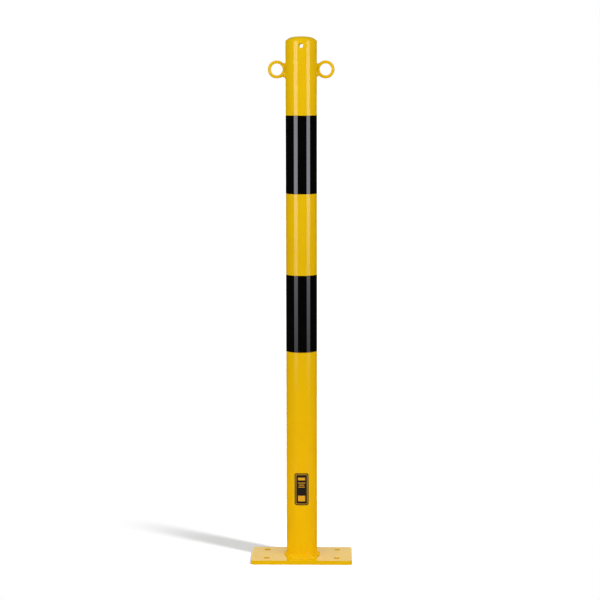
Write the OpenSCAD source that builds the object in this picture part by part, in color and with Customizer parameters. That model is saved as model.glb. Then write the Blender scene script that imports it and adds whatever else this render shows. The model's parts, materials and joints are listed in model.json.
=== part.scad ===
// Steel safety bollard for bolting to the ground, with two welded chain eyelets.
//
// A round tube stands on a flat base plate and is closed by a dished cap. One fillet bead joins
// the tube to the plate, one flush bead joins the cap to the tube, and each eyelet is a closed
// ring of round bar held by a bead above it and a bead below it. Two sleeves of black film and
// one blank label are stuck round the painted tube.
//
// Millimetres. +Z is up, +X runs through the eyelets, -Y is the front with the label.
// The origin is on the ground, on the post's axis.

/* [Post] */
// Outside diameter of the tube
tube_d = 60.3; // [48.3:0.1:76.1]
// Wall thickness of the tube
tube_wall = 2.5; // [2:0.1:4]
// Height of the tube's upper end above the ground
post_h = 1000; // [900:10:1200]
// Diameter of the hole that the post hangs from while it is coated
hanging_hole_d = 8; // [5:0.5:10]
// Distance from that hole's centre down from the tube's upper end
hanging_hole_drop = 8; // [7:0.5:12]

/* [Cap] */
// Height of the dished cap above the tube's upper end
cap_rise = 10.5; // [9:0.5:12]
// Thickness of the cap
cap_t = 3; // [2:0.5:4]
// Radius of the cap's nearly flat crown
crown_r = 90; // [70:5:120]

/* [Base plate] */
// Width of the plate, left to right
plate_w = 195; // [180:5:260]
// Depth of the plate, front to back
plate_d = 100; // [96:2:160]
// Thickness of the plate
plate_t = 8; // [6:1:12]
// Radius of the plate's corners
plate_corner_r = 5; // [2:1:10]
// Left-to-right distance between the bolt holes
bolt_dx = 136; // [110:2:150]
// Front-to-back distance between the bolt holes
bolt_dy = 60; // [50:2:70]
// Diameter of the bolt holes
bolt_hole_d = 12; // [9:0.5:16]
// Diameter of the drain hole under the tube
drain_hole_d = 20; // [10:1:30]

/* [Chain eyelets] */
// Diameter of the round bar
eye_bar_d = 6; // [5:0.5:8]
// Clear width inside the ring
eye_inner_d = 22; // [18:1:28]
// Distance of the rings' centres down from the tube's upper end
eye_drop = 52; // [45:1:75]
// Depth ground off each ring's bar where it sits against the tube
eye_flat = 1; // [0.5:0.1:1.5]

/* [Weld beads] */
// Leg of the fillet round the foot of the tube
foot_leg = 5.5; // [4:0.5:8]
// Depth of the groove under the cap's edge
cap_groove = 1.2; // [0.8:0.1:1.5]
// Radius of the hollow face of the bead above the left eyelet
left_upper_hollow = 2.7; // [2:0.1:5]
// Radius of the hollow face of the bead below the left eyelet
left_lower_hollow = 4.8; // [2:0.1:5]
// Radius of the hollow face of the bead above the right eyelet
right_upper_hollow = 2.2; // [2:0.1:5]
// Radius of the hollow face of the bead below the right eyelet
right_lower_hollow = 3.1; // [2:0.1:5]
// Width of the eyelets' beads, front to back
eye_bead_w = 9; // [8:0.5:11]

/* [Film] */
// Thickness of the film and the label
film_t = 0.3; // [0.2:0.05:0.5]
// Height of each black band
band_h = 148; // [100:1:160]
// Distance of the upper band's top edge down from the tube's upper end
upper_band_drop = 138; // [100:1:160]
// Yellow gap between the two bands
band_gap = 155; // [100:5:160]
// Width of the label, measured straight across
label_w = 27; // [20:1:40]
// Height of the label
label_h = 63; // [40:1:90]
// Height of the label's centre above the ground
label_z = 144; // [100:1:200]
// Radius of the label's corners
label_corner_r = 4; // [2:0.5:6]

/* [Hidden] */

$fn = 96;
arc_steps = 12;                             // straight steps in each drawn arc
over = 1;                                   // how far a cutter runs past what it cuts

tube_r = tube_d / 2;
bore_r = tube_r - tube_wall;
eye_bar_r = eye_bar_d / 2;
eye_mean_r = eye_inner_d / 2 + eye_bar_r;   // ring's centre to the bar's centreline
eye_outer_r = eye_mean_r + eye_bar_r;
eye_gap = eye_outer_r - eye_flat;           // tube's outside to the ring's centre
eye_x = tube_r + eye_gap;                   // post's axis to the ring's centre
eye_z = post_h - eye_drop;
upper_band_top = post_h - upper_band_drop;
lower_band_top = upper_band_top - band_h - band_gap;

// The cap's outside is two arcs that meet without a corner: the crown, centred on the post's
// axis, and the knuckle, which drops from the crown to the cap's edge. The knuckle's radius is
// the one that brings it to the tube's own radius just above the weld.
crown_half_angle = 11;
cap_edge_z = post_h + cap_groove + 0.14;
crown_centre = [0, post_h + cap_rise - crown_r];
crown_out = [sin(crown_half_angle), cos(crown_half_angle)];
crown_end = crown_centre + crown_r * crown_out;
fall = [tube_r, cap_edge_z] - crown_end;
knuckle_r = (fall * fall) / (-2 * fall * crown_out);
knuckle_centre = crown_end - knuckle_r * crown_out;
// Angles from the vertical at which the knuckle reaches the tube's outside and the tube's end.
outer_edge_angle = atan2(tube_r - knuckle_centre.x, cap_edge_z - knuckle_centre.y);
inner_edge_angle = acos((post_h - knuckle_centre.y) / (knuckle_r - cap_t));

// Points along an arc, with angles measured clockwise from straight up.
function arc(centre, r, from, to) =
    [for (i = [0 : arc_steps])
        let (a = from + (to - from) * i / arc_steps)
        centre + r * [sin(a), cos(a)]];

// A plain rectangle on the XY plane with true round corners.
module rounded_rectangle(w, d, r) {
    square([w - 2 * r, d], center = true);
    square([w, d - 2 * r], center = true);
    for (x = [-1, 1], y = [-1, 1])
        translate([x * (w / 2 - r), y * (d / 2 - r)])
            circle(r);
}

// The space that the tube's outside fills, used to shape what is fitted against it.
module tube_envelope() {
    cylinder(h = post_h, r = tube_r);
}

// A closed ring of round bar, centred on one eyelet's place. side is -1 for left and 1 for right.
module ring_envelope(side) {
    translate([side * eye_x, 0, eye_z])
        rotate([90, 0, 0])
            rotate_extrude()
                translate([eye_mean_r, 0])
                    circle(eye_bar_r);
}

module eyelet(side) {
    color("gold")
        difference() {
            ring_envelope(side);
            tube_envelope();
        }
}

// A bead in the notch between a ring and the tube. rise is 1 above the ring and -1 below it.
// Its hollow face is an arc of radius r that touches the ring and the tube, and stops short of
// both so that the bead's toes are not feather edges. A ball rounds off the bead's two ends.
module eyelet_bead(side, rise, r) {
    toe_angle = 12;                         // part of the arc left out at each toe
    arc_z = sqrt(pow(eye_outer_r + r, 2) - pow(eye_gap - r, 2));
    ring_side_angle = 180 - atan2(eye_gap - r, arc_z);
    root_z = sqrt(pow(eye_outer_r, 2) - pow(eye_gap, 2)) - 0.5;
    ball_r = (arc_z - root_z) / 2 + 0.3;
    color("gold")
        difference() {
            intersection() {
                translate([0, 0, eye_z])
                    mirror([side > 0 ? 0 : 1, 0, 0])
                        mirror([0, 0, rise > 0 ? 0 : 1])
                            rotate([90, 0, 0])
                                linear_extrude(eye_bead_w, center = true)
                                    polygon(concat(
                                        arc([tube_r + r, arc_z], r,
                                            270 - toe_angle, ring_side_angle + toe_angle),
                                        [
                                            [tube_r + r + 1, arc_z - r - 3],
                                            [tube_r - over, root_z - over],
                                            [tube_r - over, arc_z]
                                        ]
                                    ));
                translate([side * (tube_r + 1), 0, eye_z + rise * (arc_z + root_z) / 2])
                    sphere(ball_r);
            }
            ring_envelope(side);
            tube_envelope();
        }
}

module base_plate() {
    color("gold")
        linear_extrude(plate_t)
            difference() {
                rounded_rectangle(plate_w, plate_d, plate_corner_r);
                for (x = [-1, 1], y = [-1, 1])
                    translate([x * bolt_dx / 2, y * bolt_dy / 2])
                        circle(d = bolt_hole_d);
                circle(d = drain_hole_d);
            }
}

module post_tube() {
    color("gold")
        difference() {
            rotate_extrude()
                polygon([
                    [bore_r, plate_t],
                    [tube_r, plate_t],
                    [tube_r, post_h - cap_groove],
                    [tube_r - cap_groove, post_h],
                    [bore_r, post_h]
                ]);
            translate([0, tube_r + over, post_h - hanging_hole_drop])
                rotate([90, 0, 0])
                    cylinder(h = tube_d + 2 * over, d = hanging_hole_d);
        }
}

module top_cap() {
    color("gold")
        rotate_extrude()
            polygon(concat(
                arc(crown_centre, crown_r, 0, crown_half_angle),
                arc(knuckle_centre, knuckle_r, crown_half_angle, outer_edge_angle),
                [[tube_r, post_h + cap_groove], [tube_r - cap_groove, post_h]],
                arc(knuckle_centre, knuckle_r - cap_t, inner_edge_angle, crown_half_angle),
                arc(crown_centre, crown_r - cap_t, crown_half_angle, 0)
            ));
}

// Fills the groove between the tube and the cap, ground flush with the tube's outside.
module cap_weld() {
    color("gold")
        rotate_extrude()
            polygon([
                [tube_r - cap_groove, post_h],
                [tube_r, post_h - cap_groove],
                [tube_r, post_h + cap_groove]
            ]);
}

// A slightly crowned fillet between the tube and the plate.
module foot_weld() {
    crown_bulge = 0.6;
    toe_distance = sqrt(2) * foot_leg / 2;  // half the distance between the two toes
    bead_r = (toe_distance * toe_distance + crown_bulge * crown_bulge) / (2 * crown_bulge);
    swing = asin(toe_distance / bead_r);
    middle = [tube_r, plate_t] + foot_leg / 2 * [1, 1];
    centre = middle - (bead_r - crown_bulge) / sqrt(2) * [1, 1];
    color("gold")
        rotate_extrude()
            polygon(concat(
                [[tube_r, plate_t]],
                arc(centre, bead_r, 45 - swing, 45 + swing)
            ));
}

module black_band(top) {
    color("black")
        rotate_extrude()
            translate([tube_r, top - band_h])
                square([film_t, band_h]);
}

// A blank label that follows the tube's front.
module blank_label() {
    color("dimgray")
        intersection() {
            translate([0, 0, label_z - label_h])
                difference() {
                    cylinder(h = 2 * label_h, r = tube_r + film_t);
                    translate([0, 0, -over])
                        cylinder(h = 2 * label_h + 2 * over, r = tube_r);
                }
            translate([0, 0, label_z])
                rotate([90, 0, 0])
                    linear_extrude(tube_d)
                        rounded_rectangle(label_w, label_h, label_corner_r);
        }
}

base_plate();
post_tube();
top_cap();
cap_weld();
foot_weld();
eyelet(-1);  // left_eyelet
eyelet_bead(-1, 1, left_upper_hollow);  // left_upper_bead
eyelet_bead(-1, -1, left_lower_hollow);  // left_lower_bead
eyelet(1);  // right_eyelet
eyelet_bead(1, 1, right_upper_hollow);  // right_upper_bead
eyelet_bead(1, -1, right_lower_hollow);  // right_lower_bead
black_band(upper_band_top);  // upper_black_band
black_band(lower_band_top);  // lower_black_band
blank_label();
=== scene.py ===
import json
import math

import bmesh
import bpy
from mathutils import Matrix, Vector


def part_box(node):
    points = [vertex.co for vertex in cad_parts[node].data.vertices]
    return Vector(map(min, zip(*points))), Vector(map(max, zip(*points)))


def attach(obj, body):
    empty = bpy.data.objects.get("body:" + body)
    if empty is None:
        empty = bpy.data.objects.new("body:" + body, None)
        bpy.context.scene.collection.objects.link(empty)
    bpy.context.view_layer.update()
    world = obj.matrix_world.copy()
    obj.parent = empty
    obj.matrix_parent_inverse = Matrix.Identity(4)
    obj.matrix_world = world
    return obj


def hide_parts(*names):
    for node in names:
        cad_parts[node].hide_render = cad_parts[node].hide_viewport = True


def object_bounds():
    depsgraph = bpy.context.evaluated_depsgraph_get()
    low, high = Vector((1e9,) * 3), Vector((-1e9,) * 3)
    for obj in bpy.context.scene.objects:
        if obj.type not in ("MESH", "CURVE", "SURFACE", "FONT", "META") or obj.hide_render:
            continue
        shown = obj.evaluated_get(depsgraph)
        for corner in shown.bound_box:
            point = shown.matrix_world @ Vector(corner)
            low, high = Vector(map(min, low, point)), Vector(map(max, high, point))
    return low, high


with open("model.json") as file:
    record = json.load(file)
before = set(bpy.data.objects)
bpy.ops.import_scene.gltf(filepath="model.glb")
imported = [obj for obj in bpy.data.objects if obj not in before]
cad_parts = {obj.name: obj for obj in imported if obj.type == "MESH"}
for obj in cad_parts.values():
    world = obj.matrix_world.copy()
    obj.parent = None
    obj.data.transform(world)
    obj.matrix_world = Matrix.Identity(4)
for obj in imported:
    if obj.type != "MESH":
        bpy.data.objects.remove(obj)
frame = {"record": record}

cad_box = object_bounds()


# ---- Camera ----
# A long lens 3.34 m from the post's axis, a little lower than the cap and looking slightly down.
# It stands just over one degree to the right of straight ahead.
CAMERA_DISTANCE = 3.340
CAMERA_HEIGHT = 0.9439
CAMERA_AZIMUTH = math.radians(1.14)
CAMERA_PITCH = math.radians(7.42)
CAMERA_AIM_LEFT = math.radians(0.052)
CAMERA_ROLL = math.radians(-0.10)
SENSOR_WIDTH = 36.0
LENS = 105.2
CLIP = (0.05, 60.0)

camera = bpy.data.objects.new("camera", bpy.data.cameras.new("camera"))
bpy.context.scene.collection.objects.link(camera)
camera.data.sensor_width = SENSOR_WIDTH
camera.data.lens = LENS
camera.data.clip_start, camera.data.clip_end = CLIP
turn = (Matrix.Rotation(CAMERA_AZIMUTH + CAMERA_AIM_LEFT, 4, "Z")
        @ Matrix.Rotation(math.pi / 2 - CAMERA_PITCH, 4, "X")
        @ Matrix.Rotation(CAMERA_ROLL, 4, "Z"))
camera.matrix_world = Matrix.Translation((CAMERA_DISTANCE * math.sin(CAMERA_AZIMUTH),
                                          -CAMERA_DISTANCE * math.cos(CAMERA_AZIMUTH),
                                          CAMERA_HEIGHT)) @ turn
bpy.context.scene.camera = camera


# ---- Base plate ----
# A rectangle of 8 mm steel flat with rounded corners, cut with four anchor holes and one drain
# hole under the tube. Its edges are dressed and then softened by the powder coat, which is sprayed
# over the whole welded post and baked.
PLATE_CORNER = 0.005
ANCHOR_HOLE_R = 0.006
DRAIN_HOLE_R = 0.010
PLATE_EDGE_SOFTENING = 0.0007
CORNER_STEPS = 10
ANCHOR_HOLE_STEPS = 48
DRAIN_HOLE_STEPS = 56
COAT_COLOUR = (0.90, 0.570, 0.0015, 1.0)
COAT_THIN_COLOUR = (0.87, 0.530, 0.0015, 1.0)
COAT_ROUGHNESS = 0.13
COAT_GLOSS = 0.30
DUST_COLOUR = (0.35, 0.17, 0.004, 1.0)
MILL_STEEL_COLOUR = (0.055, 0.048, 0.043, 1.0)
MILL_STEEL_ROUGHNESS = 0.62
# The closed inside of the tube, which no powder reaches: its radius, its foot and its top.
BARE_RADIUS = (0.0291, 0.0283)
BARE_FOOT = (0.0075, 0.0085)
BARE_TOP = (1.0005, 0.9995)


class Wire:
    """A value in a node tree. Python arithmetic on it adds Math nodes to that tree."""

    def __init__(self, tree, socket=None):
        self.tree, self.socket = tree, socket

    def node(self, kind, settings=None, inputs=None, output=0):
        """Adds a node, gives it its settings and then its inputs, and returns one output."""
        made = self.tree.nodes.new(kind)
        for name, value in (settings or {}).items():
            if name == "stops":
                ramp = made.color_ramp
                while len(ramp.elements) < len(value):
                    ramp.elements.new(0.5)
                for element, (place, colour) in zip(ramp.elements, value):
                    element.position, element.color = place, colour
            else:
                setattr(made, name, value)
        for name, value in (inputs or {}).items():
            if isinstance(value, Wire):
                self.tree.links.new(value.socket, made.inputs[name])
            else:
                made.inputs[name].default_value = value
        return Wire(self.tree, made.outputs[output])

    def out(self, name):
        """Another output of the node that this value comes from."""
        return Wire(self.tree, self.socket.node.outputs[name])

    def maths(self, operation, *others, clamp=False):
        """A Math node on this value and any others that the operation takes."""
        return self.node("ShaderNodeMath", {"operation": operation, "use_clamp": clamp},
                         dict(enumerate((self,) + others)))

    def __add__(self, other): return self.maths("ADD", other)
    def __radd__(self, other): return self.maths("ADD", other)
    def __sub__(self, other): return self.maths("SUBTRACT", other)
    def __rsub__(self, other): return -self + other
    def __mul__(self, other): return self.maths("MULTIPLY", other)
    def __rmul__(self, other): return self.maths("MULTIPLY", other)
    def __truediv__(self, other): return self.maths("DIVIDE", other)
    def __rtruediv__(self, other): return self ** -1.0 * other
    def __pow__(self, other): return self.maths("POWER", other)
    def __neg__(self): return self.maths("MULTIPLY", -1.0)
    def __abs__(self): return self.maths("ABSOLUTE")

    def step(self, low, high):
        """0 below low, 1 above high and a smooth change between; low may be above high."""
        share = (self - low).maths("DIVIDE", high - low, clamp=True)
        return share * share * (3.0 - 2.0 * share)

    def mix(self, a, b):
        """Colour a where this value is 0 and colour b where it is 1."""
        return self.node("ShaderNodeMix", {"data_type": "RGBA"}, {0: self, 6: a, 7: b}, 2)

    def split(self):
        """The x, y and z of a vector."""
        first = self.node("ShaderNodeSeparateXYZ", None, {0: self})
        return first, first.out("Y"), first.out("Z")


def material(name):
    """An empty material: its tree, its Principled shader and the place on the piece."""
    made = bpy.data.materials.new(name)
    made.use_nodes = True
    tree = made.node_tree
    shader = next(n for n in tree.nodes if n.type == "BSDF_PRINCIPLED")
    place = Wire(tree).node("ShaderNodeTexCoord").out("Object")
    return made, tree, shader, place


def powder_coat():
    """Glossy yellow powder coat with fine orange peel; bare mill steel inside the tube."""
    made, tree, shader, place = material("yellow_powder_coat")
    x, y, z = place.split()
    broad = place.node("ShaderNodeTexNoise", None,
                       {"Vector": place, "Scale": 26.0, "Detail": 3.0, "Roughness": 0.55})
    peel = place.node("ShaderNodeTexNoise", None,
                      {"Vector": place, "Scale": 620.0, "Detail": 1.5, "Roughness": 0.45})
    flow = place.node("ShaderNodeTexNoise", None,
                      {"Vector": place, "Scale": 170.0, "Detail": 1.0, "Roughness": 0.4})
    speck = place.node("ShaderNodeTexVoronoi", {"feature": "F1"},
                       {"Vector": place, "Scale": 95.0, "Randomness": 1.0})
    # A few baked-in dust specks, each under half a millimetre across.
    lucky = speck.node("ShaderNodeSeparateColor", None, {0: speck.out("Color")})
    specks = speck.step(0.028, 0.012) * lucky.step(0.965, 0.97)
    from_axis = (x * x + y * y) ** 0.5
    inside = from_axis.step(*BARE_RADIUS) * z.step(*BARE_FOOT)
    inside = inside * z.step(*BARE_TOP)
    thin = broad.step(0.42, 0.66) * 0.55
    colour = thin.mix(COAT_COLOUR, COAT_THIN_COLOUR)
    colour = (specks * 0.6).mix(colour, DUST_COLOUR)
    colour = inside.mix(colour, MILL_STEEL_COLOUR)
    tree.links.new(colour.socket, shader.inputs["Base Color"])
    rough = COAT_ROUGHNESS + (flow - 0.5) * 0.10 + (broad - 0.5) * 0.06
    rough = rough + inside * (MILL_STEEL_ROUGHNESS - rough)
    tree.links.new(rough.socket, shader.inputs["Roughness"])
    tree.links.new((inside * 0.8).socket, shader.inputs["Metallic"])
    height = (peel * 0.35 + flow * 0.65) * (1.0 - inside) + specks * 0.5
    bump = place.node("ShaderNodeBump", None,
                      {"Strength": 0.30, "Distance": 0.00012, "Height": height})
    tree.links.new(bump.socket, shader.inputs["Normal"])
    shader.inputs["IOR"].default_value = 1.5
    shader.inputs["Specular IOR Level"].default_value = COAT_GLOSS
    return made


COAT = powder_coat()


def mesh_piece(name, points, faces, finish):
    """A named object at the origin from points and faces, with its doubles merged."""
    mesh = bpy.data.meshes.new(name)
    mesh.from_pydata([tuple(p) for p in points], [], faces)
    build = bmesh.new()
    build.from_mesh(mesh)
    bmesh.ops.remove_doubles(build, verts=build.verts, dist=1e-7)
    bmesh.ops.recalc_face_normals(build, faces=build.faces)
    build.to_mesh(mesh)
    build.free()
    piece = bpy.data.objects.new(name, mesh)
    bpy.context.scene.collection.objects.link(piece)
    mesh.materials.append(finish)
    return piece


def smooth(mesh, angle=35.0):
    """Shades smooth, with hard edges where faces meet at more than that many degrees."""
    mesh.polygons.foreach_set("use_smooth", [True] * len(mesh.polygons))
    mesh.set_sharp_from_angle(angle=math.radians(angle))


def apply_modifiers(piece):
    """Turns a piece's live modifiers into its plain mesh."""
    graph = bpy.context.evaluated_depsgraph_get()
    mesh = bpy.data.meshes.new_from_object(piece.evaluated_get(graph))
    mesh.name = piece.name
    piece.modifiers.clear()
    piece.data = mesh


def root_piece(piece, slot, *nodes):
    """The post is one welded body, so every piece rides on root."""
    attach(piece, "root")
    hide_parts(*nodes)


plate_low, plate_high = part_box("base_plate")
plate_bolts = frame["record"]["mounts"][0]["dims"]
bolt_x, bolt_y = plate_bolts["spacing_x_mm"] / 2000, plate_bolts["spacing_y_mm"] / 2000


def circle_loop(cx, cy, r, steps):
    """Points once round a circle, in the plane of the plate."""
    return [(cx + r * math.cos(2 * math.pi * i / steps), cy + r * math.sin(2 * math.pi * i / steps))
            for i in range(steps)]


def base_plate():
    """The underside and its holes as one flat face, thickened upwards, with softened edges."""
    half_w, half_d = plate_high.x, plate_high.y
    outline = []
    for sx, sy, start in ((1, 1, 0), (-1, 1, 90), (-1, -1, 180), (1, -1, 270)):
        for i in range(CORNER_STEPS + 1):
            a = math.radians(start + 90 * i / CORNER_STEPS)
            outline.append((sx * (half_w - PLATE_CORNER) + PLATE_CORNER * math.cos(a),
                            sy * (half_d - PLATE_CORNER) + PLATE_CORNER * math.sin(a)))
    loops = [outline, circle_loop(0, 0, DRAIN_HOLE_R, DRAIN_HOLE_STEPS)]
    loops += [circle_loop(sx * bolt_x, sy * bolt_y, ANCHOR_HOLE_R, ANCHOR_HOLE_STEPS)
              for sx in (-1, 1) for sy in (-1, 1)]
    build = bmesh.new()
    for loop in loops:
        corners = [build.verts.new((px, py, plate_low.z)) for px, py in loop]
        for i, corner in enumerate(corners):
            build.edges.new((corner, corners[(i + 1) % len(corners)]))
    bmesh.ops.triangle_fill(build, use_beauty=True, edges=build.edges[:])
    bmesh.ops.recalc_face_normals(build, faces=build.faces)
    if build.faces[0].normal.z > 0:
        bmesh.ops.reverse_faces(build, faces=build.faces)
    mesh = bpy.data.meshes.new("plate")
    build.to_mesh(mesh)
    build.free()
    plate = bpy.data.objects.new("plate", mesh)
    bpy.context.scene.collection.objects.link(plate)
    mesh.materials.append(COAT)
    wall = plate.modifiers.new("thickness", "SOLIDIFY")
    wall.thickness, wall.offset = plate_high.z - plate_low.z, -1.0
    edge = plate.modifiers.new("edge softening", "BEVEL")
    edge.width, edge.segments, edge.limit_method = PLATE_EDGE_SOFTENING, 3, "ANGLE"
    edge.angle_limit, edge.harden_normals = math.radians(40), True
    mesh.polygons.foreach_set("use_smooth", [True] * len(mesh.polygons))
    apply_modifiers(plate)
    return plate


plate = base_plate()
root_piece(plate, "yellow_powder_coat", "base_plate")


# ---- Post tube ----
# A length of 60.3 x 2.5 mm round steel tube, cut square and stood on the plate. An 8 mm hole is
# drilled right through it near the top: the post hangs from a hook there while it is coated. The
# coat rounds the hole's rim.
tube_low, tube_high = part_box("post_tube")
TUBE_R = tube_high.x
TUBE_WALL = 0.0025
BORE_R = TUBE_R - TUBE_WALL
CAP_GROOVE = 0.0012
HANGING_HOLE_R = 0.004
HANGING_HOLE_DROP = 0.008
HANGING_HOLE_Z = tube_high.z - HANGING_HOLE_DROP
HOLE_RIM_R = 0.0006
COLUMNS = 128
PLAIN_ROWS = 40
# Each end of the hanging hole has a square patch round it, this many columns to each side.
PATCH_COLUMNS = 4
PATCH_ROWS = 2 * PATCH_COLUMNS
PATCH_HALF_H = 0.0060
PATCH_RINGS = 4
HOLE_STEPS = 4 * PATCH_ROWS
RIM_STEPS = 4


def post_tube():
    """Both walls in rows of squares, finer round the hole, then the hole's walls and the ends."""
    points, faces = [], []

    def at(radius, a, z):
        points.append((radius * math.sin(a), -radius * math.cos(a), z))
        return len(points) - 1

    def quad_rows(rows):
        for lower, upper in zip(rows, rows[1:]):
            for i in range(len(lower) - 1):
                faces.append((lower[i], lower[i + 1], upper[i + 1], upper[i]))

    column = 2 * math.pi / COLUMNS
    patch_low, patch_high = HANGING_HOLE_Z - PATCH_HALF_H, HANGING_HOLE_Z + PATCH_HALF_H
    ends = {TUBE_R: (tube_low.z, tube_high.z - CAP_GROOVE), BORE_R: (tube_low.z, tube_high.z)}
    rims = {}
    for radius, (z_low, z_high) in ends.items():
        plain = [z_low + (patch_low - z_low) * i / PLAIN_ROWS for i in range(PLAIN_ROWS + 1)]
        patch = [patch_low + (patch_high - patch_low) * i / PATCH_ROWS
                 for i in range(PATCH_ROWS + 1)]
        top = [patch_high, z_high]
        quad_rows([[at(radius, i * column, z) for i in range(COLUMNS + 1)] for z in plain])
        quad_rows([[at(radius, i * column, z) for i in range(COLUMNS + 1)] for z in top])
        for side in (0, COLUMNS // 2):
            span = range(side + PATCH_COLUMNS, side + COLUMNS // 2 - PATCH_COLUMNS + 1)
            quad_rows([[at(radius, i * column, z) for i in span] for z in patch])
            # From the patch's square edge in to the hole, as drilled straight along Y.
            turn = math.pi * side * 2 / COLUMNS
            square = []
            for i in range(HOLE_STEPS):
                run = (i % PATCH_ROWS) / PATCH_COLUMNS - 1
                u, v = ((1, run), (-run, 1), (-1, -run), (run, -1))[i // PATCH_ROWS]
                square.append((u * PATCH_COLUMNS * column, v * PATCH_HALF_H))
            rows = []
            rim_r = HANGING_HOLE_R + (HOLE_RIM_R if radius == TUBE_R else 0.0)
            for k in range(PATCH_RINGS + 1):
                row = []
                share = k / PATCH_RINGS
                for i, (a, dz) in enumerate(square):
                    b = math.radians(-45 + 360 * i / HOLE_STEPS)
                    hole_a = math.asin(rim_r * math.cos(b) / radius)
                    row.append(at(radius, turn + a + (hole_a - a) * share,
                                  HANGING_HOLE_Z + dz + (rim_r * math.sin(b) - dz) * share))
                rows.append(row + row[:1])
            quad_rows(rows)
            rims[radius, side] = rows[-1]
    # The holes' rims and walls.
    for side in (0, COLUMNS // 2):
        turn = math.pi * side * 2 / COLUMNS
        rows = [rims[TUBE_R, side]]
        for k in range(1, RIM_STEPS + 1):
            lean = math.radians(90 * k / RIM_STEPS)
            ring_r = HANGING_HOLE_R + HOLE_RIM_R * (1 - math.sin(lean))
            depth = HOLE_RIM_R * (1 - math.cos(lean))
            row = []
            for i in range(HOLE_STEPS):
                b = math.radians(-45 + 360 * i / HOLE_STEPS)
                across = ring_r * math.cos(b)
                out = math.sqrt(TUBE_R ** 2 - across ** 2) - depth
                row.append(at(math.hypot(across, out), turn + math.atan2(across, out),
                              HANGING_HOLE_Z + ring_r * math.sin(b)))
            rows.append(row + row[:1])
        rows.append(rims[BORE_R, side])
        quad_rows(rows)
    # The square-cut lower end and the upper end, which is chamfered for the cap's weld.
    lower, upper = [], []
    for radius in (BORE_R, TUBE_R):
        lower.append([at(radius, i * column, tube_low.z) for i in range(COLUMNS + 1)])
    for radius, z in ((TUBE_R, tube_high.z - CAP_GROOVE), (TUBE_R - CAP_GROOVE, tube_high.z),
                      (BORE_R, tube_high.z)):
        upper.append([at(radius, i * column, z) for i in range(COLUMNS + 1)])
    quad_rows(lower)
    quad_rows(upper)
    tube = mesh_piece("tube", points, faces, COAT)
    smooth(tube.data)
    return tube


root_piece(post_tube(), "yellow_powder_coat", "post_tube")


# ---- Weld round the tube's foot ----
# One fillet bead of steel laid all the way round where the tube meets the plate. The welder's
# small steady movements leave crescent ripples in it, and it swells and narrows a little along
# its way.
foot_low, foot_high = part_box("foot_weld")
FOOT_STEPS = 900
FOOT_ACROSS = 15


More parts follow.
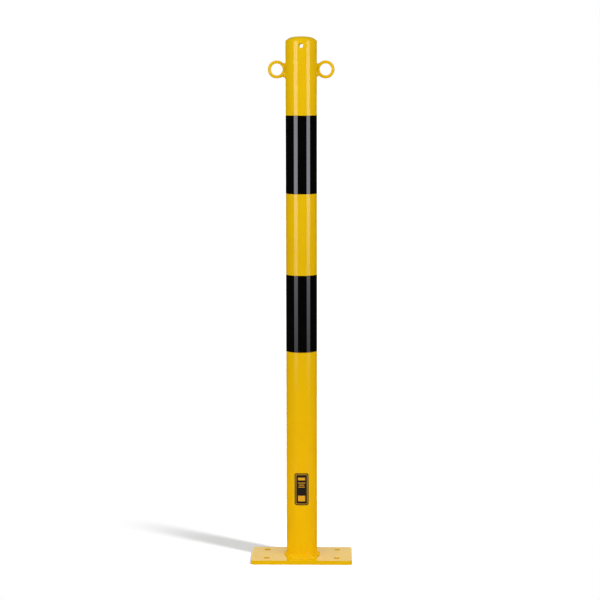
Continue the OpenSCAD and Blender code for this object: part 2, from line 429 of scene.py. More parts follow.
def bead_tree():
    """Geometry nodes for a closed bead round the post, wedge-shaped and rippled on its face."""
    tree = bpy.data.node_groups.new("bead round the post", "GeometryNodeTree")
    face = tree.interface
    face.new_socket("Geometry", in_out="OUTPUT", socket_type="NodeSocketGeometry")
    for name in ("Upper toe radius", "Upper toe height", "Lower toe radius", "Lower toe height",
                 "Root radius", "Root height", "Crown", "Ripple length", "Ripple height",
                 "Ripple lag", "Wander", "Wander length", "Seed"):
        face.new_socket(name, in_out="INPUT", socket_type="NodeSocketFloat")
    for name in ("Steps round", "Points across"):
        face.new_socket(name, in_out="INPUT", socket_type="NodeSocketInt")
    face.new_socket("Finish", in_out="INPUT", socket_type="NodeSocketMaterial")
    given = Wire(tree).node("NodeGroupInput")
    across = given.out("Points across")
    grid = given.node("GeometryNodeMeshGrid", None,
                      {"Size X": 1.0, "Size Y": 1.0, "Vertices X": given.out("Steps round") + 1.0,
                       "Vertices Y": across + 2.0})
    gx, gy, gz = given.node("GeometryNodeInputPosition").split()
    row = ((gy + 0.5) * (across + 1.0)).maths("ROUND")
    is_root = row.maths("COMPARE", across, 0.1)
    is_last = row.maths("GREATER_THAN", across + 0.5)
    t = (row * (1.0 - is_last) / (across - 1.0)).maths("MINIMUM", 1.0)
    angle = (gx + 0.5) * (2 * math.pi)
    c, s = angle.maths("COSINE"), angle.maths("SINE")
    body = given.node("ShaderNodeCombineXYZ", None,
                      {0: c * given.out("Upper toe radius"), 1: s * given.out("Upper toe radius"),
                       2: given.out("Seed")})

    def wander(offset, length):
        moved = given.node("ShaderNodeVectorMath", {"operation": "ADD"},
                           {0: body, 1: (0.0, 0.0, offset)})
        noise = given.node("ShaderNodeTexNoise", None,
                           {"Vector": moved, "Scale": 1.0 / length, "Detail": 2.0,
                            "Roughness": 0.6})
        return (noise - 0.5) * 2.0

    length = given.out("Wander length")
    amount = given.out("Wander")
    upper_r, lower_z = given.out("Upper toe radius"), given.out("Lower toe height")
    upper_z = given.out("Upper toe height") + wander(0.11, length) * amount
    lower_r = given.out("Lower toe radius") + wander(0.37, length) * amount
    face_r, face_z = upper_r + (lower_r - upper_r) * t, upper_z + (lower_z - upper_z) * t
    root_r, root_z = given.out("Root radius"), given.out("Root height")
    out_r = (upper_r + lower_r) / 2.0 - root_r
    out_z = (upper_z + lower_z) / 2.0 - root_z
    size = (out_r * out_r + out_z * out_z) ** 0.5
    middle = 1.0 - (2.0 * t - 1.0) ** 2.0
    lag = (2.0 * t - 1.0) ** 2.0 * given.out("Ripple lag")
    phase = (angle * upper_r / given.out("Ripple length") + lag + wander(0.7, length) * 0.35)
    wave = (phase * (2 * math.pi)).maths("SINE") * 0.5 + 0.5
    ripple = wave ** 1.6 * given.out("Ripple height") * middle ** 0.6
    push = middle * (given.out("Crown") + wander(0.9, length) * amount * 0.5) + ripple
    place_r = face_r + push * out_r / size
    place_z = face_z + push * out_z / size
    place_r = place_r + is_root * (root_r - place_r)
    place_z = place_z + is_root * (root_z - place_z)
    where = given.node("ShaderNodeCombineXYZ", None, {0: c * place_r, 1: s * place_r, 2: place_z})
    moved = given.node("GeometryNodeSetPosition", None, {"Geometry": grid, "Position": where})
    closed = given.node("GeometryNodeMergeByDistance", None, {"Geometry": moved, "Distance": 1e-6})
    real = given.node("GeometryNodeRealizeInstances", None, {"Geometry": closed})
    done = given.node("GeometryNodeSetMaterial", None,
                      {"Geometry": real, "Material": given.out("Finish")})
    result = tree.nodes.new("NodeGroupOutput")
    tree.links.new(done.socket, result.inputs[0])
    return tree


def grow(name, tree, values):
    """Runs a geometry tree with the named inputs and gives the plain mesh piece it makes."""
    piece = bpy.data.objects.new(name, bpy.data.meshes.new(name))
    bpy.context.scene.collection.objects.link(piece)
    maker = piece.modifiers.new("maker", "NODES")
    maker.node_group = tree
    for item in tree.interface.items_tree:
        if item.item_type == "SOCKET" and item.in_out == "INPUT":
            maker[item.identifier] = values[item.name]
    apply_modifiers(piece)
    build = bmesh.new()
    build.from_mesh(piece.data)
    bmesh.ops.recalc_face_normals(build, faces=build.faces)
    build.to_mesh(piece.data)
    build.free()
    return piece


BEAD_TREE = bead_tree()
# The bead's toes are sunk a hair into the tube and the plate, and its root goes deeper.
foot_bead = grow("foot_bead", BEAD_TREE, {
    "Upper toe radius": TUBE_R - 0.00005, "Upper toe height": foot_high.z - 0.0002,
    "Lower toe radius": foot_high.x - 0.0004, "Lower toe height": foot_low.z - 0.00005,
    "Root radius": TUBE_R - 0.0008, "Root height": foot_low.z - 0.0008,
    "Crown": 0.0003, "Ripple length": 0.0042, "Ripple height": 0.0007,
    "Ripple lag": -0.45, "Wander": 0.0007, "Wander length": 0.011, "Seed": 3.0,
    "Steps round": FOOT_STEPS, "Points across": FOOT_ACROSS, "Finish": COAT})
smooth(foot_bead.data, 60.0)
root_piece(foot_bead, "yellow_powder_coat", "foot_weld")


# ---- Dished cap ----
# A pressed steel cap, 3 mm thick: an almost flat crown that rolls over through a wide knuckle to
# a short edge of the tube's own diameter. It is welded on all round.
cap_low, cap_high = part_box("top_cap")
CAP_T = 0.003
CROWN_R = 0.090
KNUCKLE_R = 0.023
CROWN_HALF_ANGLE = math.radians(11)
CAP_TURNS = 128
CROWN_STEPS, KNUCKLE_STEPS = 9, 20
INNER_CROWN_STEPS, INNER_KNUCKLE_STEPS = 6, 12


def cap_profile():
    """Radius and height down the outside and back up the inside, both as smooth arcs."""
    crown_z = cap_high.z - CROWN_R
    knuckle_x = (CROWN_R - KNUCKLE_R) * math.sin(CROWN_HALF_ANGLE)
    knuckle_z = crown_z + (CROWN_R - KNUCKLE_R) * math.cos(CROWN_HALF_ANGLE)
    outer_end = math.asin((TUBE_R - knuckle_x) / KNUCKLE_R)
    inner_end = math.acos((cap_low.z - knuckle_z) / (KNUCKLE_R - CAP_T))
    outside = [(CROWN_R * math.sin(CROWN_HALF_ANGLE * i / CROWN_STEPS),
                crown_z + CROWN_R * math.cos(CROWN_HALF_ANGLE * i / CROWN_STEPS))
               for i in range(CROWN_STEPS)]
    for i in range(KNUCKLE_STEPS + 1):
        a = CROWN_HALF_ANGLE + (outer_end - CROWN_HALF_ANGLE) * i / KNUCKLE_STEPS
        outside.append((knuckle_x + KNUCKLE_R * math.sin(a), knuckle_z + KNUCKLE_R * math.cos(a)))
    edge = [(TUBE_R, cap_low.z + CAP_GROOVE), (TUBE_R - CAP_GROOVE, cap_low.z)]
    inside = []
    for i in range(INNER_KNUCKLE_STEPS + 1):
        a = inner_end + (CROWN_HALF_ANGLE - inner_end) * i / INNER_KNUCKLE_STEPS
        inside.append((knuckle_x + (KNUCKLE_R - CAP_T) * math.sin(a),
                       knuckle_z + (KNUCKLE_R - CAP_T) * math.cos(a)))
    for i in range(INNER_CROWN_STEPS - 1, -1, -1):
        a = CROWN_HALF_ANGLE * i / INNER_CROWN_STEPS
        inside.append(((CROWN_R - CAP_T) * math.sin(a),
                       crown_z + (CROWN_R - CAP_T) * math.cos(a)))
    return outside + edge + inside


def top_cap():
    """The profile turned about the post's axis, closed by fans at both poles."""
    points, faces = [], []
    profile = cap_profile()
    for i in range(CAP_TURNS):
        a = 2 * math.pi * i / CAP_TURNS
        points += [(r * math.sin(a), -r * math.cos(a), z) for r, z in profile]
    count = len(profile)
    for i in range(CAP_TURNS):
        here, there = i * count, (i + 1) % CAP_TURNS * count
        for j in range(count - 1):
            corners = [here + j, there + j, there + j + 1, here + j + 1]
            if j == 0:
                corners = [here, there + 1, here + 1]
            elif j == count - 2:
                corners = [here + j, there + j, here + j + 1]
            faces.append(corners)
    cap = mesh_piece("cap", points, faces, COAT)
    smooth(cap.data)
    return cap


root_piece(top_cap(), "yellow_powder_coat", "top_cap")


# ---- Weld under the cap ----
# A bead run round the groove between the cap and the tube, then ground almost flush, so that only
# a faint unevenness shows through the coat.
seam_low, seam_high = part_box("cap_weld")
cap_bead = grow("cap_bead", BEAD_TREE, {
    "Upper toe radius": TUBE_R - 0.00001, "Upper toe height": seam_high.z + 0.0004,
    "Lower toe radius": TUBE_R - 0.00001, "Lower toe height": seam_low.z - 0.0004,
    "Root radius": TUBE_R - CAP_GROOVE - 0.0003, "Root height": (seam_low.z + seam_high.z) / 2,
    "Crown": 0.00009, "Ripple length": 0.0034, "Ripple height": 0.00004,
    "Ripple lag": -0.4, "Wander": 0.00012, "Wander length": 0.009, "Seed": 8.0,
    "Steps round": 640, "Points across": 9, "Finish": COAT})
smooth(cap_bead.data, 60.0)
root_piece(cap_bead, "yellow_powder_coat", "cap_weld")


# ---- Chain eyelets ----
# Each is a length of 6 mm round bar bent to a closed ring, with a flat ground on it where it sits
# against the tube. A chain's end link or hook goes through it.
EYE_TURNS = 120
BAR_TURNS = 32
FLAT_SINK = 0.0002


def eye_places(node):
    """The ring's centre, its centreline radius and its bar's radius."""
    low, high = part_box(node)
    side = 1 if high.x > TUBE_R else -1
    bar_r = (high.y - low.y) / 2
    outer_r = (high.z - low.z) / 2
    reach = high.x if side > 0 else -low.x
    return Vector((side * (reach - outer_r), 0, (low.z + high.z) / 2)), outer_r - bar_r, bar_r


def eyelet(name, node):
    """A ring of bar whose inner side is ground back to the tube's surface."""
    centre, ring_r, bar_r = eye_places(node)
    points, faces = [], []
    for i in range(EYE_TURNS):
        a = 2 * math.pi * i / EYE_TURNS
        for j in range(BAR_TURNS):
            b = 2 * math.pi * j / BAR_TURNS
            r = ring_r + bar_r * math.cos(b)
            x, y = centre.x + r * math.cos(a), bar_r * math.sin(b)
            if math.hypot(x, y) < TUBE_R - FLAT_SINK:
                x = math.copysign(math.sqrt((TUBE_R - FLAT_SINK) ** 2 - y * y), x)
            points.append((x, y, centre.z + r * math.sin(a)))
            faces.append((i * BAR_TURNS + j, (i + 1) % EYE_TURNS * BAR_TURNS + j,
                          (i + 1) % EYE_TURNS * BAR_TURNS + (j + 1) % BAR_TURNS,
                          i * BAR_TURNS + (j + 1) % BAR_TURNS))
    ring = mesh_piece(name, points, faces, COAT)
    smooth(ring.data, 50.0)
    return ring


for side in ("left", "right"):
    root_piece(eyelet(side + "_ring", side + "_eyelet"), "yellow_powder_coat", side + "_eyelet")


# ---- Beads that hold the eyelets ----
# Short blobs of weld metal in the notch above and below each ring, flowing smoothly out on to the
# bar and the tube. They are laid by hand, so no two are the same size.
BEAD_CELL = 0.00020
BEAD_HALF_W = 0.0056
# The box that each bead is grown in: into and out from the tube's face, to each side, and up or
# down from the ring's centre.
BEAD_INWARD, BEAD_OUTWARD = 0.0025, 0.0115
BEAD_SIDEWAYS = 0.0070
BEAD_NEAREST, BEAD_FURTHEST = 0.002, 0.0235
# How far each bead's metal flows out from its notch.
BEAD_FLOW = {"left_upper_bead": 0.0060, "left_lower_bead": 0.0112,
             "right_upper_bead": 0.0054, "right_lower_bead": 0.0077}


def blob_tree():
    """Geometry nodes for weld metal that blends a ring of bar into the post's tube."""
    tree = bpy.data.node_groups.new("weld blob", "GeometryNodeTree")
    face = tree.interface
    face.new_socket("Geometry", in_out="OUTPUT", socket_type="NodeSocketGeometry")
    for name in ("Tube radius", "Ring radius", "Bar radius", "Flow", "Rise", "Half width",
                 "Lumps", "Seed"):
        face.new_socket(name, in_out="INPUT", socket_type="NodeSocketFloat")
    for name in ("Ring centre", "Low corner", "High corner"):
        face.new_socket(name, in_out="INPUT", socket_type="NodeSocketVector")
    for name in ("Cells X", "Cells Y", "Cells Z"):
        face.new_socket(name, in_out="INPUT", socket_type="NodeSocketInt")
    face.new_socket("Finish", in_out="INPUT", socket_type="NodeSocketMaterial")
    given = Wire(tree).node("NodeGroupInput")
    place = given.node("GeometryNodeInputPosition")
    x, y, z = place.split()
    cx, cy, cz = given.out("Ring centre").split()
    to_tube = (x * x + y * y) ** 0.5 - given.out("Tube radius")
    in_plane = ((x - cx) * (x - cx) + (z - cz) * (z - cz)) ** 0.5 - given.out("Ring radius")
    to_ring = (in_plane * in_plane + y * y) ** 0.5 - given.out("Bar radius")
    # The blend is strongest in the middle of the bead and dies away towards its two ends.
    share = y / given.out("Half width")
    taper = (1.0 - share * share).maths("MAXIMUM", 0.0) ** 0.5
    height = (z - cz) * given.out("Rise")
    flow = given.out("Flow") * taper * height.step(0.0028, 0.0062) + 1e-6
    seeded = given.node("ShaderNodeVectorMath", {"operation": "ADD"},
                        {0: place, 1: given.node("ShaderNodeCombineXYZ", None,
                                                 {2: given.out("Seed")})})
    lumps = given.node("ShaderNodeTexNoise", None,
                       {"Vector": seeded, "Scale": 330.0, "Detail": 1.0, "Roughness": 0.5})
    flow = flow * (0.88 + lumps * 0.24)
    h = ((to_ring - to_tube) / flow * 0.5).maths("ADD", 0.5, clamp=True)
    plain = to_ring.maths("MINIMUM", to_tube)
    blend = to_ring + (to_tube - to_ring) * h - flow * h * (1.0 - h)
    blend = blend - (lumps - 0.5) * given.out("Lumps") * (plain - blend).step(0.0, 0.0008)
    # Only the metal that the blend adds is kept, with a root 0.9 mm deep in the bar and the tube.
    added = plain - blend
    skin = (blend + 0.00002).maths("MAXIMUM", 0.00005 - added)
    skin = skin.maths("MAXIMUM", -0.0009 - to_tube).maths("MAXIMUM", -0.0009 - to_ring)
    cube = given.node("GeometryNodeVolumeCube", None,
                      {"Density": skin * -1000.0, "Background": -1.0,
                       "Min": given.out("Low corner"), "Max": given.out("High corner"),
                       "Resolution X": given.out("Cells X"), "Resolution Y": given.out("Cells Y"),
                       "Resolution Z": given.out("Cells Z")})
    shell = given.node("GeometryNodeVolumeToMesh", {"resolution_mode": "GRID"},
                       {"Volume": cube, "Threshold": 0.0, "Adaptivity": 0.0})
    real = given.node("GeometryNodeRealizeInstances", None, {"Geometry": shell})
    done = given.node("GeometryNodeSetMaterial", None,
                      {"Geometry": real, "Material": given.out("Finish")})
    result = tree.nodes.new("NodeGroupOutput")
    tree.links.new(done.socket, result.inputs[0])
    return tree


BLOB_TREE = blob_tree()
for number, (node, flow) in enumerate(BEAD_FLOW.items()):
    centre, ring_r, bar_r = eye_places(node.split("_")[0] + "_eyelet")
    side = 1 if centre.x > 0 else -1
    rise = 1 if "upper" in node else -1
    near, far = TUBE_R - BEAD_INWARD, TUBE_R + BEAD_OUTWARD
    span_z = (centre.z + rise * BEAD_NEAREST, centre.z + rise * BEAD_FURTHEST)
    low = Vector((min(side * near, side * far), -BEAD_SIDEWAYS, min(span_z)))
    high = Vector((max(side * near, side * far), BEAD_SIDEWAYS, max(span_z)))
    cells = [round((b - a) / BEAD_CELL) for a, b in zip(low, high)]
    blob = grow(node.replace("bead", "blob"), BLOB_TREE, {
        "Tube radius": TUBE_R, "Ring radius": ring_r, "Bar radius": bar_r, "Flow": flow,
        "Rise": float(rise), "Half width": BEAD_HALF_W, "Lumps": 0.0005, "Seed": 1.7 * number,
        "Ring centre": centre, "Low corner": low, "High corner": high,
        "Cells X": cells[0], "Cells Y": cells[1], "Cells Z": cells[2], "Finish": COAT})
    smooth(blob.data, 60.0)
    root_piece(blob, "yellow_powder_coat", node)


# ---- Black bands ----
# Two strips of glossy black adhesive film, each wrapped once round the painted tube and lapped
# over its own start at the back.
FILM_T = 0.00016
LAP = math.radians(20)
CLIMB = math.radians(5)
BAND_STEPS = 150
BAND_ROWS = 12
BAND_EDGE = 0.00006
GLUE_T = 0.00002
FILM_COLOUR = (0.0016, 0.0015, 0.0017, 1.0)
FILM_HAZE_COLOUR = (0.0032, 0.0030, 0.0032, 1.0)
FILM_ROUGHNESS = 0.04


def black_film():
    """Cast vinyl: a smooth face that shows the coat's orange peel and a few scuffs."""
    made, tree, shader, place = material("black_film")
    x, y, z = place.split()
    flow = place.node("ShaderNodeTexNoise", None,
                      {"Vector": place, "Scale": 150.0, "Detail": 1.0, "Roughness": 0.4})
    haze = place.node("ShaderNodeTexNoise", None,
                      {"Vector": place, "Scale": 34.0, "Detail": 4.0, "Roughness": 0.65})
    # Fine rub marks run round the post, where the film was smoothed down with a felt edge.
    long_way = place.node("ShaderNodeMapping", None,
                          {"Vector": place, "Scale": (30.0, 30.0, 2600.0)})
    rub = place.node("ShaderNodeTexNoise", None,
                     {"Vector": long_way, "Scale": 1.0, "Detail": 2.0, "Roughness": 0.7})
    rub = rub.step(0.60, 0.80) * haze.step(0.45, 0.62)
    colour = (haze.step(0.40, 0.75) * 0.5).mix(FILM_COLOUR, FILM_HAZE_COLOUR)
    tree.links.new(colour.socket, shader.inputs["Base Color"])
    rough = FILM_ROUGHNESS + (haze - 0.5) * 0.06 + rub * 0.10
    tree.links.new(rough.socket, shader.inputs["Roughness"])
    bump = place.node("ShaderNodeBump", None,
                      {"Strength": 0.15, "Distance": 0.00006, "Height": flow + rub * 0.1})
    tree.links.new(bump.socket, shader.inputs["Normal"])
    shader.inputs["IOR"].default_value = 1.5
    return made


FILM = black_film()


def band(name, node):
    """A closed strip whose face climbs over its own start through the lap at the back."""
    low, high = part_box(node)
    points, faces = [], []
    total = 2 * math.pi + LAP
    # Across the film: out over the top edge, down the face and back under the bottom edge.
    section = [(0.0, high.z), (FILM_T - BAND_EDGE, high.z), (FILM_T, high.z - BAND_EDGE)]
    for i in range(1, BAND_ROWS):
        section.append((FILM_T, high.z - (high.z - low.z) * i / BAND_ROWS))
    section += [(FILM_T, low.z + BAND_EDGE), (FILM_T - BAND_EDGE, low.z), (0.0, low.z)]
    count = len(section)
    for i in range(BAND_STEPS + 1):
        a = total * i / BAND_STEPS
        climb = min(1.0, max(0.0, (a - (2 * math.pi - CLIMB)) / CLIMB))
        climb = climb * climb * (3 - 2 * climb)
        base = TUBE_R + GLUE_T + climb * (FILM_T + GLUE_T)
        turn = a - LAP / 2
        for out, z in section:
            points.append(((base + out) * math.sin(turn), (base + out) * math.cos(turn), z))
    for i in range(BAND_STEPS):
        for j in range(count):
            k = (j + 1) % count
            faces.append((i * count + j, (i + 1) * count + j, (i + 1) * count + k, i * count + k))
    faces.append(tuple(range(count)))
    faces.append(tuple(BAND_STEPS * count + j for j in reversed(range(count))))
    strip = mesh_piece(name, points, faces, FILM)
    smooth(strip.data)
    return strip


root_piece(band("upper_band", "upper_black_band"), "black_film", "upper_black_band")
root_piece(band("lower_band", "lower_black_band"), "black_film", "lower_black_band")


# ---- Blank label ----
# A small printed film label on the front of the tube, near the foot: a dark ground with a plain
# yellow frame and plain bars, and no words or marks on it.
label_low, label_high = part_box("blank_label")
LABEL_CORNER = 0.004
LABEL_COLUMNS = 28
LABEL_ROWS = 48
LABEL_CORNER_STEPS = 8
LABEL_COLOUR = (0.016, 0.015, 0.015, 1.0)
PRINT_COLOUR = (0.80, 0.44, 0.012, 1.0)
FRAME_INSET = 0.0026
FRAME_CORNER = LABEL_CORNER - 0.0018
FRAME_LINE = 0.0009
PRINT_SOFTNESS = 0.00008
LABEL_BARS = (
    # height above the label's middle, half width, half height
    (0.0205, 0.0068, 0.0026),
    (0.0125, 0.0068, 0.0007),
    (0.0085, 0.0052, 0.0007),
    (0.0045, 0.0060, 0.0007),
    (-0.0180, 0.0068, 0.0055),
)


def label_print():
    """Dark film with the frame and bars printed in yellow, measured from the label's middle."""
    made, tree, shader, place = material("label_film")
    middle = (label_low + label_high) / 2
    centred = place.node("ShaderNodeMapping", {"vector_type": "TEXTURE"},
                         {"Vector": place, "Location": middle})
    x, y, z = centred.split()
    half_w, half_h = label_high.x, (label_high.z - label_low.z) / 2

    def box_line(w, h, r):
        """Distance outside a rounded box of those half sizes."""
        dx, dz = abs(x) - (w - r), abs(z) - (h - r)
        ox, oz = dx.maths("MAXIMUM", 0.0), dz.maths("MAXIMUM", 0.0)
        inner = dx.maths("MAXIMUM", dz).maths("MINIMUM", 0.0)
        return (ox * ox + oz * oz) ** 0.5 + inner - r

    def within(distance, limit):
        """1 inside that distance and 0 beyond it, with a slightly soft edge."""
        return distance.step(limit + PRINT_SOFTNESS, limit - PRINT_SOFTNESS)

    edge = abs(box_line(half_w - FRAME_INSET, half_h - FRAME_INSET, FRAME_CORNER))
    inked = within(edge, FRAME_LINE / 2)
    for bar_z, bar_half_w, bar_half_h in LABEL_BARS:
        across = within(abs(x), bar_half_w)
        inked = inked + across * within(abs(z - bar_z), bar_half_h)
    inked = inked.maths("MINIMUM", 1.0)
    wear = place.node("ShaderNodeTexNoise", None,
                      {"Vector": place, "Scale": 700.0, "Detail": 3.0, "Roughness": 0.7})
    inked = inked * (1.0 - wear.step(0.68, 0.78) * 0.5)
    colour = inked.mix(LABEL_COLOUR, PRINT_COLOUR)
    tree.links.new(colour.socket, shader.inputs["Base Color"])
    rough = 0.24 + inked * 0.08 + (wear - 0.5) * 0.06
    tree.links.new(rough.socket, shader.inputs["Roughness"])
    flow = place.node("ShaderNodeTexNoise", None,
                      {"Vector": place, "Scale": 150.0, "Detail": 1.0, "Roughness": 0.4})
    bump = place.node("ShaderNodeBump", None,
                      {"Strength": 0.2, "Distance": 0.00006, "Height": flow + inked * 0.4})
    tree.links.new(bump.socket, shader.inputs["Normal"])
    shader.inputs["IOR"].default_value = 1.5
    return made


def label():
    """A patch of film bent to the tube, its outline a rectangle with round corners."""
    half_w, half_h = label_high.x, (label_high.z - label_low.z) / 2
    mid_z = (label_low.z + label_high.z) / 2
    points, faces = [], []

    def reach(z):
        """Half the label's width at that height above its middle."""
        over = abs(z) - (half_h - LABEL_CORNER)
        if over <= 0:
            return half_w
        return half_w - LABEL_CORNER + math.sqrt(max(0.0, LABEL_CORNER ** 2 - over ** 2))

    heights = [half_h * (2 * j / LABEL_ROWS - 1) for j in range(LABEL_ROWS + 1)]
    for k in range(1, LABEL_CORNER_STEPS):
        bend = math.sin(math.radians(90 * k / LABEL_CORNER_STEPS))
        bend = half_h - LABEL_CORNER + LABEL_CORNER * bend
        heights += [bend, -bend]
    heights = sorted(set(round(h, 7) for h in heights))
    for radius in (TUBE_R + GLUE_T, TUBE_R + GLUE_T + FILM_T):
        for z in heights:
            for i in range(LABEL_COLUMNS + 1):
                x = reach(z) * (2 * i / LABEL_COLUMNS - 1)
                points.append((x, -math.sqrt(radius ** 2 - x ** 2), mid_z + z))
    wide, tall = LABEL_COLUMNS + 1, len(heights)
    layer = wide * tall
    for j in range(tall - 1):
        for i in range(wide - 1):
            a = j * wide + i
            faces.append((a, a + wide, a + wide + 1, a + 1))
            faces.append((layer + a, layer + a + 1, layer + a + wide + 1, layer + a + wide))
    rim = [j * wide for j in range(tall)]
    rim += [(tall - 1) * wide + i for i in range(1, wide)]
    rim += [j * wide + wide - 1 for j in range(tall - 2, -1, -1)]
    rim += [i for i in range(wide - 2, 0, -1)]
    for a, b in zip(rim, rim[1:] + rim[:1]):
        faces.append((a, b, layer + b, layer + a))
    patch = mesh_piece("label", points, faces, label_print())
    smooth(patch.data)
    return patch


root_piece(label(), "label_film", "blank_label")


# ---- Studio ----
# A round pale floor that fades into a white surround, a tall softbox on each side in front of the
# post for its highlights, and soft light and lamps for its colour. A small high lamp lights only
# the floor, and throws the post's shadow back and to the left.
FLOOR_R = 1.9
FLOOR_FADE = (1.0, 1.8)
FLOOR_GAP = 0.0002
FLOOR_COLOUR = (0.50, 0.50, 0.50, 1.0)
FLOOR_GLOW = (0.97, 0.98, 1.07, 1.0)
FLOOR_GLOW_STRENGTH = 0.40
# Between these distances from the post the floor turns to plain white emission, painted light that
# fades out the post's cast shadow.
SHADOW_FADE = (0.20, 0.50)
FLOOR_BOUNCE = (0.50, 0.42, 0.32, 1.0)
SOFTBOX_DISTANCE = 2.0
SOFTBOX_TOP = 1.16
SOFTBOX_COLOUR = (0.97, 0.96, 1.07, 1.0)
# How bright a softbox is at heights up from the floor, in metres.
SOFTBOX_RAMP = ((0.0, 0.14), (0.10, 0.25), (0.33, 0.45), (0.56, 1.0))
SOFTBOXES = (
    # name, middle and half-width in degrees round the post from straight ahead, glow
    ("left softbox", -39.8, 13.8, 5.6),
    ("right softbox", 52.4, 13.2, 5.4),
)
ROOM_LIGHT = 0.46
# Where the mirrored backdrop ends, as parts of a direction: to its sides and at its top.
BACKDROP_SIDES = (0.905, 0.945)
BACKDROP_TOP = (0.40, 0.29)
scene = bpy.context.scene
scene.view_settings.view_transform = "Standard"
scene.view_settings.look = "None"


def stage_floor():
    """A disc just under the post: pale, evenly lit and invisible at its rim and from below."""
    build = bmesh.new()
    bmesh.ops.create_circle(build, cap_ends=True, segments=96, radius=FLOOR_R)
    mesh = bpy.data.meshes.new("floor")
    build.to_mesh(mesh)
    build.free()
    mesh.transform(Matrix.Translation((0, 0, cad_box[0].z - FLOOR_GAP)))
    floor = bpy.data.objects.new("floor", mesh)
    scene.collection.objects.link(floor)
    made = bpy.data.materials.new("pale floor")
    made.use_nodes = True
    tree = made.node_tree
    tree.nodes.clear()
    start = Wire(tree)
    x, y, z = start.node("ShaderNodeTexCoord").out("Object").split()
    from_post = (x * x + y * y) ** 0.5
    away = from_post.step(*FLOOR_FADE)
    below = start.node("ShaderNodeNewGeometry").out("Backfacing")
    matt = start.node("ShaderNodeBsdfDiffuse", None, {"Color": FLOOR_COLOUR})
    glow = start.node("ShaderNodeEmission", None,
                      {"Color": FLOOR_GLOW, "Strength": FLOOR_GLOW_STRENGTH})
    both = start.node("ShaderNodeAddShader", None, {0: matt, 1: glow})
    # The post is lit by the floor as by a calmer, warmer one than the camera sees.
    bounce = start.node("ShaderNodeEmission", None, {"Color": FLOOR_BOUNCE, "Strength": 1.0})
    seen = start.node("ShaderNodeLightPath").out("Is Camera Ray")
    plain = start.node("ShaderNodeEmission", None, {"Color": (1.0, 1.0, 1.0, 1.0), "Strength": 1.0})
    # Painted light: away from the post the floor shows plain white instead of its lit shading, so
    # the cast shadow fades out.
    painted_white_share = from_post.step(*SHADOW_FADE)
    both = start.node("ShaderNodeMixShader", None, {0: painted_white_share, 1: both, 2: plain})
    both = start.node("ShaderNodeMixShader", None, {0: seen, 1: bounce, 2: both})
    clear = start.node("ShaderNodeBsdfTransparent")
    gone = away.maths("MAXIMUM", below)
    mixed = start.node("ShaderNodeMixShader", None, {0: gone, 1: both, 2: clear})
    result = tree.nodes.new("ShaderNodeOutputMaterial")
    tree.links.new(mixed.socket, result.inputs["Surface"])
    mesh.materials.append(made)
    floor.visible_glossy = False
    return floor


def softbox(name, azimuth, half_width, glow):
    """A tall glowing panel that faces the post, dimmer towards its foot, seen as a highlight."""
    a = math.radians(azimuth)
    out = Vector((math.sin(a), -math.cos(a), 0))
    along = Vector((math.cos(a), math.sin(a), 0))
    half = SOFTBOX_DISTANCE * math.tan(math.radians(half_width))
    foot = out * SOFTBOX_DISTANCE
    mesh = bpy.data.meshes.new(name)
    up = Vector((0, 0, SOFTBOX_TOP))
    mesh.from_pydata([foot - along * half, foot + along * half,
                      foot + along * half + up, foot - along * half + up], [], [(0, 1, 2, 3)])
    panel = bpy.data.objects.new(name, mesh)
    scene.collection.objects.link(panel)
    made = bpy.data.materials.new(name)
    made.use_nodes = True
    tree = made.node_tree
    tree.nodes.clear()
    start = Wire(tree)
    x, y, z = start.node("ShaderNodeTexCoord").out("Object").split()
    stops = [(height, (level, level, level, 1.0)) for height, level in SOFTBOX_RAMP]
    ramp = start.node("ShaderNodeValToRGB", {"stops": stops}, {0: z})
    light = start.node("ShaderNodeEmission", None,
                       {"Color": SOFTBOX_COLOUR, "Strength": ramp * glow})
    result = tree.nodes.new("ShaderNodeOutputMaterial")
    tree.links.new(light.socket, result.inputs["Surface"])
    mesh.materials.append(made)
    panel.visible_camera = False
    panel.visible_diffuse = False
    panel.visible_shadow = False


def lamp(name, azimuth, elevation, distance, size, power, aim, colour):
    """A soft lamp without a highlight, aimed at a height on the post's axis."""
    a, e = math.radians(azimuth), math.radians(elevation)
    data = bpy.data.lights.new(name, "AREA")
    data.shape, data.energy, data.color = "RECTANGLE", power, colour
    data.size, data.size_y = size
    made = bpy.data.objects.new(name, data)
    scene.collection.objects.link(made)
    back = Vector((math.sin(a) * math.cos(e), -math.cos(a) * math.cos(e), math.sin(e)))
    made.location = Vector((0, 0, aim)) + back * distance
    made.rotation_euler = back.to_track_quat("Z", "Y").to_euler()
    made.visible_camera = False
    made.visible_glossy = False
    return made


def only_lights(made, name, state, *things):
    """Limits a lamp to some things (INCLUDE) or to everything but those (EXCLUDE)."""
    group = bpy.data.collections.new(name)
    for thing in things:
        group.objects.link(thing)
    for member in group.collection_objects:
        member.light_linking.link_state = state
    made.light_linking.receiver_collection = group


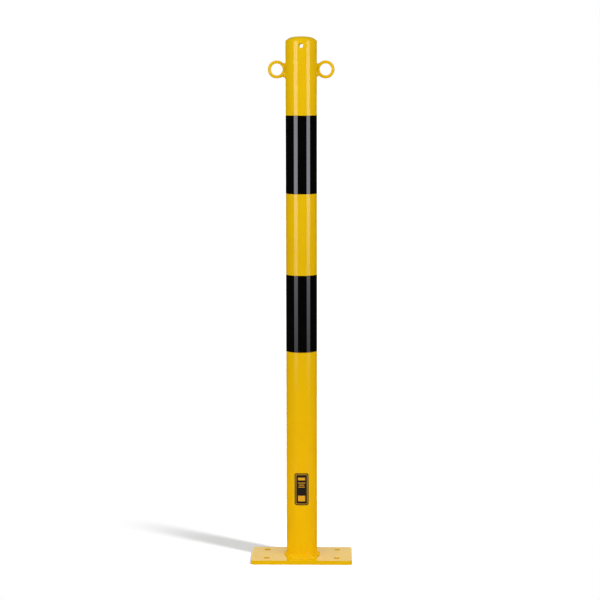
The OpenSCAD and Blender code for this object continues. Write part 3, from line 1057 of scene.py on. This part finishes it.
def surround():
    """White behind everything; the post itself sees soft even light and a dark, calm room."""
    world = bpy.data.worlds.new("surround")
    scene.world = world
    world.use_nodes = True
    tree = world.node_tree
    tree.nodes.clear()
    start = Wire(tree)
    x, y, z = start.node("ShaderNodeTexCoord").out("Generated").split()
    level = (1.0 - z * z).maths("MAXIMUM", 0.0001) ** 0.5
    # Mirrored in the coat: a white backdrop behind the post, up to a low edge, and dim above.
    backdrop = (y / level).step(*BACKDROP_SIDES) * z.step(*BACKDROP_TOP)
    backdrop = backdrop * (1.02 + z.step(0.05, -0.05) * 2.0)
    mirrored = 0.015 + backdrop + z.step(0.45, 0.9) * 0.06
    # Falling on the matt part of the coat: even light, a little stronger from above.
    soft = ROOM_LIGHT * (1.0 + z.step(0.15, 0.5) * 0.25) * (1.0 - y.step(0.0, 0.5) * 0.15)
    tint = z.step(0.1, -0.5).mix((1.0, 1.0, 0.85, 1.0), (1.0, 0.80, 0.58, 1.0))
    tint = (-y).step(0.75, 0.98).mix(tint, (0.94, 1.04, 0.85, 1.0))
    rays = start.node("ShaderNodeLightPath")
    seen, matt = rays.out("Is Camera Ray"), rays.out("Is Diffuse Ray")
    strength = mirrored + matt * (soft - mirrored)
    strength = strength + seen * (1.0 - strength)
    tint = matt.mix((1.0, 1.0, 1.0, 1.0), tint)
    light = start.node("ShaderNodeBackground", None, {"Color": tint, "Strength": strength})
    result = tree.nodes.new("ShaderNodeOutputWorld")
    tree.links.new(light.socket, result.inputs["Surface"])


floor = stage_floor()
for box_values in SOFTBOXES:
    softbox(*box_values)
surround()
# Two lamps light the post, and the rest even out its top, its foot and its plate.
# Each has its direction round the post and up, distance, size, power, height aimed at, colour.
lamps = (
    ("left lamp", (-42.0, 0.0, 1.7, (0.9, 0.6), 10.2, 1.40, (1.0, 0.96, 0.8)),
     "EXCLUDE", (floor,)),
    ("right lamp", (45.0, 0.0, 1.7, (0.9, 0.6), 10.2, 1.40, (1.0, 0.96, 0.8)),
     "EXCLUDE", (floor,)),
    ("high front lamp", (0.0, 0.0, 0.6, (0.1, 0.1), 0.11, 1.0, (0.35, 1.0, 0.3)),
     "EXCLUDE", (floor,)),
    ("low left lamp", (-50.0, 0.0, 0.40, (0.3, 0.1), 0.38, 0.08, (1.0, 0.62, 0.3)),
     "EXCLUDE", (floor, plate)),
    ("low right lamp", (52.0, 0.0, 0.40, (0.3, 0.1), 0.38, 0.08, (1.0, 0.62, 0.3)),
     "EXCLUDE", (floor, plate)),
    ("plate lamp", (5.0, 60.0, 2.5, (0.9, 0.9), 9.0, 0.0, (1.0, 0.95, 0.8)),
     "INCLUDE", (plate,)),
    ("plate edge lamp", (0.0, 4.0, 1.6, (0.9, 0.2), 3.4, 0.0, (1.0, 0.78, 1.0)),
     "INCLUDE", (plate,)),
    ("floor lamp", (54.0, 62.0, 4.5, (0.30, 0.30), 260.0, 0.0, (1.0, 1.0, 1.0)),
     "INCLUDE", (floor,)),
)
for name, values, state, things in lamps:
    only_lights(lamp(name, *values), "things by the " + name, state, *things)
